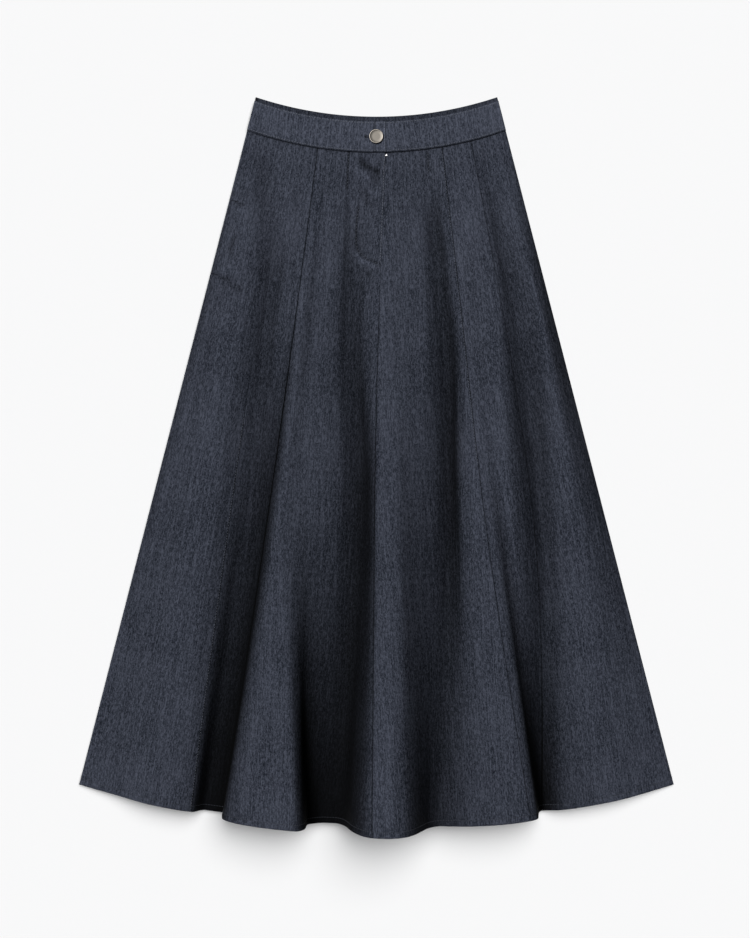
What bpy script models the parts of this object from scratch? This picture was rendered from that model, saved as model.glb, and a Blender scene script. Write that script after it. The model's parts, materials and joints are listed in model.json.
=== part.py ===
"""A flared denim skirt that lies on its back, front up, on a flat surface.

Metres, +Z up. +Y runs from the hem to the waist, and +X is the viewer's right. The origin is the
middle of the outline, at the height of the surface. The skirt is a sector of a ring: each point
has a share of the half width (-1 at the left side seam, 1 at the right one) and a radius from the
sector's apex, which lies beyond the waist. The back is flat. The front rises from it in three
flutes that widen towards the hem.
"""
import math

import bmesh
import bpy
import numpy as np

MM = 0.001

# Outline
WAIST_WIDTH = 0.306
HEM_WIDTH = 0.754
SIDE_LENGTH = 0.900
HALF_ANGLE = math.asin((HEM_WIDTH - WAIST_WIDTH) / 2 / SIDE_LENGTH)
WAIST_RADIUS = WAIST_WIDTH / 2 / math.sin(HALF_ANGLE)
HEM_RADIUS = WAIST_RADIUS + SIDE_LENGTH
APEX_Y = (WAIST_RADIUS * math.cos(HALF_ANGLE) + HEM_RADIUS) / 2

# Cloth
WALL = 1.5 * MM
BAND_WALL = 2.0 * MM
GAP = 0.3 * MM
BACK_SHORTER = 2.0 * MM

# Waistband: its lower edge at the sides, its depth, and how far the front and back edges dip
BAND_DEPTH = 38.5 * MM
FRONT_SEAM_RADIUS = WAIST_RADIUS + 44.0 * MM
FRONT_DIP = 9.0 * MM
BACK_DIP = 5.4 * MM
CROWN = 8.0 * MM
SIDE_HEIGHT = WALL + GAP + WALL
BAND_SIDE_HEIGHT = BAND_WALL + GAP + BAND_WALL
BAND_LAP_EDGE = 0.070
BAND_UNDERLAP_END = -0.090
BAND_STEP = 2.3 * MM

# Fly: the left centre gore laps over the right one down to its end
FLY_END = 0.165
FLY_CLOSES = 0.205
FLY_LAP = 6.0 * MM
FLY_STEP = 1.8 * MM
PULL_STEP = 3.4 * MM
PULL_STEP_END = 0.045
LAP_FADE = 12.0 * MM

# Lines that run down the front from the waist seam to the hem: shares of the half width at the
# waist, a quarter of the way down, halfway and at the hem, and the height of the outer face in
# millimetres at the last three. At the waist the height is the crown's.
MARKS = np.array((0.0, 0.25, 0.5, 1.0))
FOLDS = (
    # name, waist, quarter, halfway, hem, height at quarter, halfway, hem
    ("side_left", -1.000, -1.000, -1.000, -1.000, 3.3, 3.3, 3.3),
    ("left_side_roll", -0.965, -0.965, -0.965, -0.955, 8.0, 8.5, 6.0),
    ("left_panel_rise", -0.920, -0.920, -0.910, -0.880, 11.0, 12.5, 10.5),
    ("left_panel_crest", -0.860, -0.840, -0.800, -0.740, 14.5, 20.0, 23.5),
    ("left_panel_fall", -0.780, -0.760, -0.735, -0.660, 14.0, 19.0, 25.0),
    ("seam_outer_left", -0.683, -0.668, -0.648, -0.612, 8.5, 12.5, 23.0),
    ("left_panel_foot", -0.645, -0.635, -0.570, -0.570, 5.5, 5.2, 5.0),
    ("left_flute_foot", -0.600, -0.605, -0.530, -0.512, 6.0, 4.7, 4.7),
    ("left_flute_wall", -0.520, -0.555, -0.505, -0.510, 12.0, 8.5, 10.0),
    ("seam_princess_left", -0.443, -0.458, -0.476, -0.510, 18.5, 17.0, 17.0),
    ("left_flute_edge", -0.425, -0.445, -0.460, -0.505, 19.5, 22.0, 34.0),
    ("left_flute_shoulder", -0.410, -0.430, -0.443, -0.452, 20.3, 26.0, 48.5),
    ("left_flute_crest", -0.395, -0.415, -0.418, -0.350, 20.5, 27.5, 56.0),
    ("left_flute_fall", -0.375, -0.398, -0.388, -0.262, 19.5, 26.0, 59.0),
    ("left_flute_drop", -0.355, -0.380, -0.355, -0.233, 18.0, 24.0, 47.0),
    ("left_flute_end", -0.330, -0.355, -0.310, -0.226, 17.0, 22.0, 25.0),
    ("centre_left_shelf", -0.280, -0.290, -0.270, -0.205, 16.5, 20.5, 18.0),
    ("centre_left_fall", -0.220, -0.220, -0.170, -0.170, 13.5, 15.5, 12.5),
    ("centre_left_floor", -0.190, -0.172, -0.105, -0.140, 8.5, 9.5, 12.5),
    ("centre_flute_foot", -0.160, -0.145, -0.080, -0.112, 7.5, 9.0, 20.0),
    ("centre_flute_flank", -0.120, -0.115, -0.056, -0.078, 10.5, 14.0, 50.0),
    ("centre_flute_shoulder", -0.060, -0.065, -0.030, -0.046, 17.5, 25.5, 68.0),
    ("seam_centre", 0.067, 0.014, -0.008, -0.015, 22.0, 33.0, 76.5),
    ("centre_flute_crest", 0.100, 0.060, 0.040, 0.042, 22.5, 37.0, 80.0),
    ("centre_flute_fall", 0.160, 0.120, 0.088, 0.092, 21.0, 35.8, 75.0),
    ("centre_right_slope", 0.220, 0.200, 0.145, 0.122, 18.5, 30.0, 65.0),
    ("centre_flute_drop", 0.285, 0.280, 0.215, 0.148, 16.0, 22.5, 50.0),
    ("centre_right_foot", 0.330, 0.330, 0.275, 0.175, 11.5, 15.5, 36.0),
    ("centre_right_floor", 0.375, 0.375, 0.325, 0.205, 7.5, 9.5, 31.0),
    ("right_flute_foot", 0.400, 0.402, 0.352, 0.235, 9.0, 14.0, 34.0),
    ("right_flute_rise", 0.425, 0.435, 0.375, 0.315, 15.5, 23.5, 42.0),
    ("right_flute_crest", 0.465, 0.462, 0.430, 0.425, 18.8, 30.0, 47.0),
    ("seam_princess_right", 0.496, 0.484, 0.473, 0.503, 19.8, 31.5, 44.0),
    ("right_flute_edge", 0.550, 0.535, 0.515, 0.528, 20.0, 30.3, 38.0),
    ("right_flute_dip", 0.600, 0.585, 0.548, 0.533, 19.3, 27.5, 26.0),
    ("right_flute_bump", 0.640, 0.650, 0.600, 0.538, 19.3, 28.5, 14.0),
    ("right_flute_wall", 0.680, 0.690, 0.650, 0.545, 18.8, 23.5, 7.0),
    ("seam_outer_right", 0.720, 0.720, 0.700, 0.552, 17.0, 14.5, 4.7),
    ("right_valley", 0.785, 0.795, 0.740, 0.575, 9.0, 8.5, 7.5),
    ("right_valley_far", 0.830, 0.840, 0.775, 0.600, 8.3, 10.0, 13.0),
    ("right_panel_rise", 0.870, 0.875, 0.810, 0.660, 10.5, 15.0, 17.5),
    ("right_panel_crest", 0.920, 0.925, 0.885, 0.770, 13.5, 19.5, 18.5),
    ("right_panel_fall", 0.965, 0.965, 0.950, 0.930, 9.5, 12.5, 8.5),
    ("side_right", 1.000, 1.000, 1.000, 1.000, 3.3, 3.3, 3.3),
)
LINE = {row[0]: number for number, row in enumerate(FOLDS)}
LOWEST = 4.7 * MM
LEVELS = np.union1d(np.linspace(0.0, 1.0, 22), (FLY_END, FLY_CLOSES))
COLUMNS_PER_FOLD = 2

# Gores of the front, each from one line to another
GORES = (
    ("front_side_left", "side_left", "seam_outer_left"),
    ("front_middle_left", "seam_outer_left", "seam_princess_left"),
    ("front_centre_left", "seam_princess_left", "seam_centre"),
    ("front_centre_right", "seam_centre", "seam_princess_right"),
    ("front_middle_right", "seam_princess_right", "seam_outer_right"),
    ("front_side_right", "seam_outer_right", "side_right"),
)

# Zip, slider and pull, whose line of teeth lies left of the lap's edge
ZIP_OFFSET = 10.0 * MM
ZIP_HALF_WIDTH = 12.0 * MM
ZIP_WALL = 1.2 * MM
ZIP_END = 0.150
SLIDER_SIZE = (7.0 * MM, 9.0 * MM)
PULL_SIZE = (11.8 * MM, 3.2 * MM, 1.0 * MM)
PULL_LEVEL = 0.010

# Button and buttonhole
BUTTON_X = -0.4 * MM
BUTTON_RADIUS = 8.9 * MM
BUTTON_RIM = 1.3 * MM
BUTTON_THICK = 3.0 * MM
BUTTON_DISH = 0.9 * MM
SHANK_RADIUS = 2.0 * MM
BUTTONHOLE_LENGTH = 13.5 * MM
BUTTONHOLE_WIDTH = 1.2 * MM

# Pocket bag at the left side seam
BAG_WALL = 1.0 * MM
BAG_TOP = 0.700
BAG_BOTTOM = 0.925
BAG_OUTER = -0.955
BAG_INNER = -0.440
BAG_LEAST = 0.45

DENIM = ("indigo_denim", (0.035, 0.040, 0.055), 0.85, 0.0)
NICKEL = ("brushed_nickel", (0.60, 0.58, 0.55), 0.35, 1.0)
TAPE = ("zip_tape", (0.030, 0.033, 0.045), 0.80, 0.0)
POCKETING = ("pocketing", (0.055, 0.058, 0.070), 0.90, 0.0)


def clear_scene():
    for item in list(bpy.data.objects):
        bpy.data.objects.remove(item, do_unlink=True)


def material(name, colour, roughness, metallic):
    found = bpy.data.materials.get(name)
    if found:
        return found
    made = bpy.data.materials.new(name)
    made.use_nodes = True
    shader = made.node_tree.nodes["Principled BSDF"]
    shader.inputs["Base Color"].default_value = (*colour, 1.0)
    shader.inputs["Roughness"].default_value = roughness
    shader.inputs["Metallic"].default_value = metallic
    return made


def finish(bm, name, look, smooth=True):
    """Makes the object of a closed body whose faces are turned outwards."""
    bmesh.ops.recalc_face_normals(bm, faces=bm.faces)
    mesh = bpy.data.meshes.new(name)
    bm.to_mesh(mesh)
    bm.free()
    mesh.materials.append(material(*look))
    if smooth:
        mesh.shade_smooth()
        mesh.set_sharp_from_angle(angle=math.radians(40))
    made = bpy.data.objects.new(name, mesh)
    bpy.context.collection.objects.link(made)
    return made


def place(across, radius, height):
    """Point of the sector, from shares of the half width, radii and heights."""
    angle = np.asarray(across) * HALF_ANGLE
    x = radius * np.sin(angle)
    y = APEX_Y - radius * np.cos(angle)
    return np.stack(np.broadcast_arrays(x, y, height), axis=-1)


def ease(value, start, end):
    """Smooth step from 0 at start to 1 at end."""
    share = np.clip((value - start) / (end - start), 0.0, 1.0)
    return share * share * (3.0 - 2.0 * share)


def bow(across):
    """1 at the centre line and 0 at the side seams."""
    return 1.0 - np.asarray(across) ** 2


def slopes(along, value):
    """Slopes at the points of a section that keep the curve from overshooting them."""
    step = np.diff(along)
    rate = np.diff(value) / step
    slope = np.zeros_like(value)
    slope[0], slope[-1] = rate[0], rate[-1]
    for i in range(1, len(value) - 1):
        if rate[i - 1] * rate[i] > 0.0:
            before = step[i - 1] + 2.0 * step[i]
            after = 2.0 * step[i - 1] + step[i]
            slope[i] = (before + after) / (before / rate[i - 1] + after / rate[i])
    return slope


def hermite(along, value, columns):
    """Curve through a section's points, read at columns counted in lines."""
    slope = slopes(along, value)
    first = np.clip(np.floor(columns).astype(int), 0, len(value) - 2)
    share = columns - first
    span = along[first + 1] - along[first]
    return (value[first] * (1 + 2 * share) * (1 - share) ** 2
            + value[first + 1] * share ** 2 * (3 - 2 * share)
            + slope[first] * span * share * (1 - share) ** 2
            - slope[first + 1] * span * share ** 2 * (1 - share))


def seam_radius(across):
    return FRONT_SEAM_RADIUS + FRONT_DIP * bow(across)


def front_row(level, columns):
    """Points of the front's outer face at one level, 0 at the waist seam and 1 at the hem."""
    rows = np.array([row[1:] for row in FOLDS])
    mark = np.array((np.interp(level, MARKS, np.arange(len(MARKS))),))
    crown = (SIDE_HEIGHT + CROWN * bow(rows[:, 0])) / MM
    marked = np.column_stack((crown, rows[:, 4:]))
    across = np.array([hermite(MARKS, values, mark)[0] for values in rows[:, :4]])
    height = np.array([hermite(MARKS, values, mark)[0] for values in marked]) * MM
    height[1:-1] = np.maximum(height[1:-1], LOWEST)
    radius = FRONT_SEAM_RADIUS + (HEM_RADIUS - FRONT_SEAM_RADIUS) * level
    width = across * radius * math.sin(HALF_ANGLE)
    along = np.concatenate(([0.0], np.cumsum(np.hypot(np.diff(width), np.diff(height)))))
    across = hermite(along, across, columns)
    height = hermite(along, height, columns)
    top = seam_radius(across)
    return place(across, top + (HEM_RADIUS - top) * level, height)


def front_grid(columns):
    """Points of the front's outer face and the way out of the cloth at each of them."""
    points = np.array([front_row(level, columns) for level in LEVELS])
    points[0, :, 1] -= GAP / 2
    outward = np.cross(np.gradient(points, axis=0), np.gradient(points, axis=1))
    outward /= np.linalg.norm(outward, axis=2, keepdims=True)
    return points, outward


def wall(name, look, outer, inner):
    """A closed wall between two equal grids of points."""
    rows, columns = outer.shape[:2]
    bm = bmesh.new()
    bmesh.ops.create_grid(bm, x_segments=columns - 1, y_segments=rows - 1, size=1.0)
    made = bmesh.ops.extrude_face_region(bm, geom=bm.faces[:], use_keep_orig=True)
    copies = {item for item in made["geom"] if isinstance(item, bmesh.types.BMVert)}
    for vert in bm.verts:
        column = round((vert.co.x + 1.0) / 2.0 * (columns - 1))
        row = round((vert.co.y + 1.0) / 2.0 * (rows - 1))
        vert.co = inner[row, column] if vert in copies else outer[row, column]
    return finish(bm, name, look)


def inset_edge(points, column, neighbour, amount):
    """Moves one column of points along the cloth, towards its neighbour."""
    way = points[:, neighbour] - points[:, column]
    way /= np.linalg.norm(way, axis=1, keepdims=True)
    points[:, column] += way * amount


def gore(name, first, last):
    """One gore of the front, a half gap short of the seams at its long edges."""
    columns = np.arange(0, (len(FOLDS) - 1) * COLUMNS_PER_FOLD + 1) / COLUMNS_PER_FOLD
    points, outward = front_grid(columns)
    start = LINE[first] * COLUMNS_PER_FOLD
    end = LINE[last] * COLUMNS_PER_FOLD
    points = points[:, start:end + 1].copy()
    outward = outward[:, start:end + 1].copy()
    if name == "front_centre_right":
        points, outward = with_underlap(points, outward)
    elif first != "side_left":
        inset_edge(points, 0, 1, GAP / 2)
    if last != "side_right":
        inset_edge(points, -1, -2, GAP / 2)
    return wall(name, DENIM, points, points - outward * WALL)


def fly_step(levels):
    """How far the right gore lies below the left one at each level of the fly."""
    pull = (PULL_STEP - FLY_STEP) * (1.0 - ease(levels, PULL_STEP_END, 2 * PULL_STEP_END))
    return (FLY_STEP + pull) * (1.0 - ease(levels, FLY_END, FLY_CLOSES))


def with_underlap(points, outward):
    """The right centre gore, with the strip that goes under the left one along the fly."""
    lap = 1.0 - ease(LEVELS, FLY_END - 0.045, FLY_END)
    points = np.concatenate((points[:, :1], points), axis=1)
    outward = np.concatenate((outward[:, :1], outward), axis=1)
    way = points[:, 2] - points[:, 1]
    way /= np.linalg.norm(way, axis=1, keepdims=True)
    seam = points[:, 1].copy()
    lapped = (-FLY_LAP * lap + GAP / 2 * (1.0 - lap))[:, None]
    beyond = (GAP * lap + 2.0 * MM * (1.0 - lap))[:, None]
    points[:, 0] = seam + way * lapped
    points[:, 1] = seam + way * beyond
    distance = np.linalg.norm(points - seam[:, None], axis=2)
    distance[:, 0] = 0.0
    fade = 1.0 - ease(distance, 0.5 * MM, LAP_FADE)
    return points - outward * (fly_step(LEVELS)[:, None] * fade)[..., None], outward


def band_wall(name, start, end, seam, dip, side_height, step=None):
    """One half of the waistband, bowed like the edge that it is sewn to."""
    across = np.linspace(start, end, 15)
    if step is not None:
        across = np.unique(np.append(across, (step, step + 0.03, step + 0.06)))
    shares = np.linspace(0.0, 1.0, 3)
    crown = CROWN if dip == FRONT_DIP else 0.0
    rows = []
    for share in shares:
        radius = seam + dip * bow(across) - GAP / 2 - share * (BAND_DEPTH - GAP / 2)
        height = side_height + crown * bow(across)
        if step is not None:
            clear = (across - step) * HALF_ANGLE * radius
            height = height - BAND_STEP * (1.0 - ease(clear, 0.5 * MM, LAP_FADE))
        rows.append(place(across, radius, height))
    outer = np.array(rows)
    inner = outer - np.array((0.0, 0.0, BAND_WALL))
    return wall(name, DENIM, outer, inner)


def cutter(bm, name):
    """An unseen body that a Boolean takes away from another."""
    made = finish(bm, name, DENIM, smooth=False)
    made.hide_render = True
    made.display_type = "WIRE"
    return made


def subtract(target, tool):
    cut = target.modifiers.new(tool.name, "BOOLEAN")
    cut.operation = "DIFFERENCE"
    cut.solver = "EXACT"
    cut.object = tool


def box_into(bm, low, high):
    """Adds a box between two corners."""
    low, high = np.array(low), np.array(high)
    made = bmesh.ops.create_cube(bm, size=1.0)
    for vert in made["verts"]:
        vert.co = (low + high) / 2 + np.array(vert.co) * (high - low)


def band_height_at_button():
    return BAND_SIDE_HEIGHT + CROWN


def button_y():
    radius = FRONT_SEAM_RADIUS + FRONT_DIP - BAND_DEPTH / 2
    return APEX_Y - radius


def waistband():
    """Both halves of the front and of the back, with the keyhole buttonhole in the front left one."""
    left = band_wall("waistband_front_left", -1.0, BAND_LAP_EDGE, FRONT_SEAM_RADIUS, FRONT_DIP,
                     BAND_SIDE_HEIGHT)
    band_wall("waistband_front_right", BAND_UNDERLAP_END, 1.0, FRONT_SEAM_RADIUS, FRONT_DIP,
              BAND_SIDE_HEIGHT, step=BAND_LAP_EDGE)
    back_seam = WAIST_RADIUS + BAND_DEPTH
    half_gap = GAP / 2 / (WAIST_RADIUS * HALF_ANGLE)
    band_wall("waistband_back_left", -1.0, -half_gap, back_seam, BACK_DIP, BAND_WALL)
    band_wall("waistband_back_right", half_gap, 1.0, back_seam, BACK_DIP, BAND_WALL)
    top = band_height_at_button() + 5.0 * MM
    bottom = band_height_at_button() - BAND_WALL - GAP / 2
    bm = bmesh.new()
    bmesh.ops.create_cone(bm, cap_ends=True, segments=24, radius1=SHANK_RADIUS + GAP,
                          radius2=SHANK_RADIUS + GAP, depth=top - bottom)
    bmesh.ops.translate(bm, verts=bm.verts, vec=(BUTTON_X, button_y(), (top + bottom) / 2))
    subtract(left, cutter(bm, "cutter_buttonhole_eye"))
    bm = bmesh.new()
    box_into(bm, (BUTTON_X - BUTTONHOLE_LENGTH, button_y() - BUTTONHOLE_WIDTH / 2, bottom),
             (BUTTON_X, button_y() + BUTTONHOLE_WIDTH / 2, top))
    subtract(left, cutter(bm, "cutter_buttonhole_slot"))


def button():
    """Turned cap with a raised rim, and the shank that reaches the underlap."""
    seat = band_height_at_button() - BAND_STEP + GAP
    low = band_height_at_button() + GAP
    top = low + BUTTON_THICK
    dish = BUTTON_RADIUS - BUTTON_RIM
    profile = (
        (0.0, seat),
        (SHANK_RADIUS, seat),
        (SHANK_RADIUS, low),
        (BUTTON_RADIUS - 0.8 * MM, low),
        (BUTTON_RADIUS, low + 0.8 * MM),
        (BUTTON_RADIUS, top - 0.8 * MM),
        (BUTTON_RADIUS - 0.4 * MM, top - 0.1 * MM),
        (BUTTON_RADIUS - BUTTON_RIM / 2, top),
        (dish, top - 0.3 * MM),
        (dish - 0.4 * MM, top - BUTTON_DISH),
        (0.0, top - BUTTON_DISH),
    )
    bm = bmesh.new()
    verts = [bm.verts.new((radius, 0.0, height)) for radius, height in profile]
    for first, second in zip(verts, verts[1:]):
        bm.edges.new((first, second))
    bmesh.ops.spin(bm, geom=bm.verts[:] + bm.edges[:], axis=(0, 0, 1), cent=(0, 0, 0),
                   angle=2 * math.pi, steps=28, use_merge=True)
    bmesh.ops.remove_doubles(bm, verts=bm.verts, dist=1e-6)
    bmesh.ops.translate(bm, verts=bm.verts, vec=(BUTTON_X, button_y(), 0.0))
    finish(bm, "waist_button", NICKEL)


def back_panel(name, start, end):
    """One flat half of the back, from the back waistband to just short of the front's hem."""
    across = np.linspace(start, end, 11)
    top = WAIST_RADIUS + BAND_DEPTH + BACK_DIP * bow(across) + GAP
    outer = np.array([
        place(across, top + (HEM_RADIUS - BACK_SHORTER - top) * share, WALL)
        for share in (0.0, 0.5, 1.0)
    ])
    wall(name, DENIM, outer, outer - np.array((0.0, 0.0, WALL)))


def fly_frame(level):
    """The lap's edge at one level of the fly, and the way across the cloth and out of it."""
    line = LINE["seam_centre"]
    columns = np.array((line - 0.5, line, line + 0.5))
    above, here, below = (front_row(level + step, columns) for step in (-0.01, 0.0, 0.01))
    across = here[2] - here[0]
    across /= np.linalg.norm(across)
    down = below[1] - above[1]
    down /= np.linalg.norm(down)
    outward = np.cross(down, across)
    return here[1], across, down, outward / np.linalg.norm(outward)


def zip_depth(level):
    """Depth of the tape's upper face below the outer face of the fly."""
    return fly_step(np.array(level)) + WALL + 1.6 * GAP


def fly_zip():
    """Zip tape behind the fly, below the right gore's underlap."""
    outer = []
    for level in np.linspace(0.0, ZIP_END, 9):
        edge, across, down, outward = fly_frame(level)
        middle = edge - across * ZIP_OFFSET - outward * zip_depth(level)
        outer.append([middle + across * side * ZIP_HALF_WIDTH for side in (-1.0, 0.0, 1.0)])
    outer = np.array(outer)
    outer[0, :, 1] -= GAP
    edge, across, down, outward = fly_frame(ZIP_END / 2)
    wall("fly_zip", TAPE, outer, outer - outward * ZIP_WALL)


def zip_slider():
    """Slider on the zip's teeth, with its pull laid to the right so that the tip shows."""
    edge, across, down, outward = fly_frame(PULL_LEVEL)
    axes = np.array((across, down, outward))
    ceiling = -WALL - GAP
    floor = GAP - zip_depth(PULL_LEVEL)
    width, length = SLIDER_SIZE
    pull_length, pull_width, pull_thick = PULL_SIZE
    boxes = (
        ("zip_slider", (-ZIP_OFFSET - width / 2, -length / 2, floor),
         (-ZIP_OFFSET + width / 2, length / 2, ceiling)),
        ("cutter_pull", (-ZIP_OFFSET, -pull_width / 2, ceiling - pull_thick),
         (-ZIP_OFFSET + pull_length, pull_width / 2, ceiling)),
    )
    made = []
    for name, low, high in boxes:
        bm = bmesh.new()
        box_into(bm, low, high)
        for vert in bm.verts:
            vert.co = edge + np.array(vert.co) @ axes
        made.append(finish(bm, name, NICKEL, smooth=False) if not made else cutter(bm, name))
    join = made[0].modifiers.new("pull", "BOOLEAN")
    join.operation = "UNION"
    join.solver = "EXACT"
    join.object = made[1]


def pocket_bag():
    """Flat bag on the back panel, with its mouth at the left side seam and a rounded far side."""
    rows = []
    for share in np.linspace(0.0, 1.0, 13):
        width = BAG_LEAST + (1.0 - BAG_LEAST) * math.sqrt(1.0 - abs(2.0 * share - 1.0) ** 4)
        across = np.linspace(BAG_OUTER, BAG_OUTER + (BAG_INNER - BAG_OUTER) * width, 5)
        rows.append(place(across, BAG_TOP + (BAG_BOTTOM - BAG_TOP) * share, WALL + GAP + BAG_WALL))
    outer = np.array(rows)
    wall("pocket_bag_left", POCKETING, outer, outer - np.array((0.0, 0.0, BAG_WALL)))


def build():
    clear_scene()
    for name, first, last in GORES:
        gore(name, first, last)
    half_gap = GAP / 2 / (WAIST_RADIUS * HALF_ANGLE)
    back_panel("back_left", -1.0, -half_gap)
    back_panel("back_right", half_gap, 1.0)
    waistband()
    button()
    fly_zip()
    zip_slider()
    pocket_bag()


build()
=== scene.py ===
"""Looks of a flared denim skirt that lies on its back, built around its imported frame.

Metres, +Z up, +Y from the hem to the waist, +X to the viewer's right, as in the frame.
"""
import json
import math

import bmesh
import bpy
import numpy as np
from bpy.props import FloatProperty, FloatVectorProperty, PointerProperty
from bpy.types import Operator, Panel, PropertyGroup
from mathutils import Matrix, Vector

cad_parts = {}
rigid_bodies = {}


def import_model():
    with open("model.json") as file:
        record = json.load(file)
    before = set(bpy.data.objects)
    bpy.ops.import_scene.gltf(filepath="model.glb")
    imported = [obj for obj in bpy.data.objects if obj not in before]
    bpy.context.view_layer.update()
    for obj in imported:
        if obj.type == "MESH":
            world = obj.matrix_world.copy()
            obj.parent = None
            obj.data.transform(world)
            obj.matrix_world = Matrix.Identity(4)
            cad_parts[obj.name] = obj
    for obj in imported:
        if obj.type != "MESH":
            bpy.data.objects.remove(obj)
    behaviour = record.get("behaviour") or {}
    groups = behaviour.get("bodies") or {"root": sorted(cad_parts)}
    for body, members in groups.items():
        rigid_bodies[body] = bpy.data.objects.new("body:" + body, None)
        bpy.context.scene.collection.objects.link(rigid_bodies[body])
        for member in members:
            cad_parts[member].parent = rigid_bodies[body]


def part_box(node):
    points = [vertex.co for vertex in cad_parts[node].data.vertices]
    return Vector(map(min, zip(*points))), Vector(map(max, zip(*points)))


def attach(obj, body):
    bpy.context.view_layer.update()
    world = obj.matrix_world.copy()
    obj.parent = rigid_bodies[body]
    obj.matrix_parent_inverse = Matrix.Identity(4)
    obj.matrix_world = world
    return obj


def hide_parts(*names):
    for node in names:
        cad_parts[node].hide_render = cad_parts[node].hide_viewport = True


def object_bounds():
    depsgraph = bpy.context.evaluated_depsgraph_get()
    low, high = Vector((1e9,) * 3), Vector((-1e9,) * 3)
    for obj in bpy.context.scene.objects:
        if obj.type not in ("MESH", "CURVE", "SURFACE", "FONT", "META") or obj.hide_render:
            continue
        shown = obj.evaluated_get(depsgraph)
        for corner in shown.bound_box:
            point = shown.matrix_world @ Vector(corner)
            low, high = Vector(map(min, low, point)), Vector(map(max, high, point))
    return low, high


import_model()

bl_info = {
    "name": "Flared denim skirt",
    "version": (1, 0, 0),
    "blender": (4, 5, 0),
    "location": "3D View > Sidebar > Skirt",
    "description": "Builds the cloth, trim, stitching and studio of a flared denim skirt",
    "category": "Object",
}

MM = 0.001
BODY = "root"
CAD_BOX = [list(corner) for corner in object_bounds()]

# Outline, as a sector of a ring whose apex lies beyond the waist
HEM_WIDTH = CAD_BOX[1][0] - CAD_BOX[0][0]
WAIST_WIDTH = 0.306
SIDE_LENGTH = 0.900
HALF_ANGLE = math.asin((HEM_WIDTH - WAIST_WIDTH) / 2 / SIDE_LENGTH)
WAIST_RADIUS = WAIST_WIDTH / 2 / math.sin(HALF_ANGLE)
HEM_RADIUS = WAIST_RADIUS + SIDE_LENGTH
APEX_Y = (WAIST_RADIUS * math.cos(HALF_ANGLE) + HEM_RADIUS) / 2

# Waistband and the heights that the cloth has at the waist
BAND_DEPTH = 38.5 * MM
FRONT_SEAM_RADIUS = WAIST_RADIUS + 44.0 * MM
FRONT_LENGTH = HEM_RADIUS - FRONT_SEAM_RADIUS
BACK_SEAM_RADIUS = WAIST_RADIUS + BAND_DEPTH
FRONT_DIP = 9.0 * MM
BACK_DIP = 5.4 * MM
CROWN = 8.0 * MM
SIDE_HEIGHT = 3.3 * MM
BAND_SIDE_HEIGHT = 4.3 * MM
BAND_LAP_EDGE = 0.070
BAND_UNDERLAP_END = -0.090
BAND_STEP = 1.05 * MM
LOWEST = 4.7 * MM

# Fly: where it ends and closes, as shares of the front's length, its lap and its steps
FLY_END = 0.165
FLY_CLOSES = 0.205
FLY_LAP = 6.0 * MM
FLY_STEP = 0.5 * MM
PULL_STEP = 1.9 * MM
PULL_STEP_END = 0.010
LAP_FADE = 12.0 * MM
# Where the painted shadow under the waistband is weaker, around the pull: middle and width in
# millimetres
PULL_X = 5.0
PULL_GAP = 6.5

# Radii of the turns at the hems
FRONT_TURN = 0.8 * MM
BACK_TURN = 0.75 * MM

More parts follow.
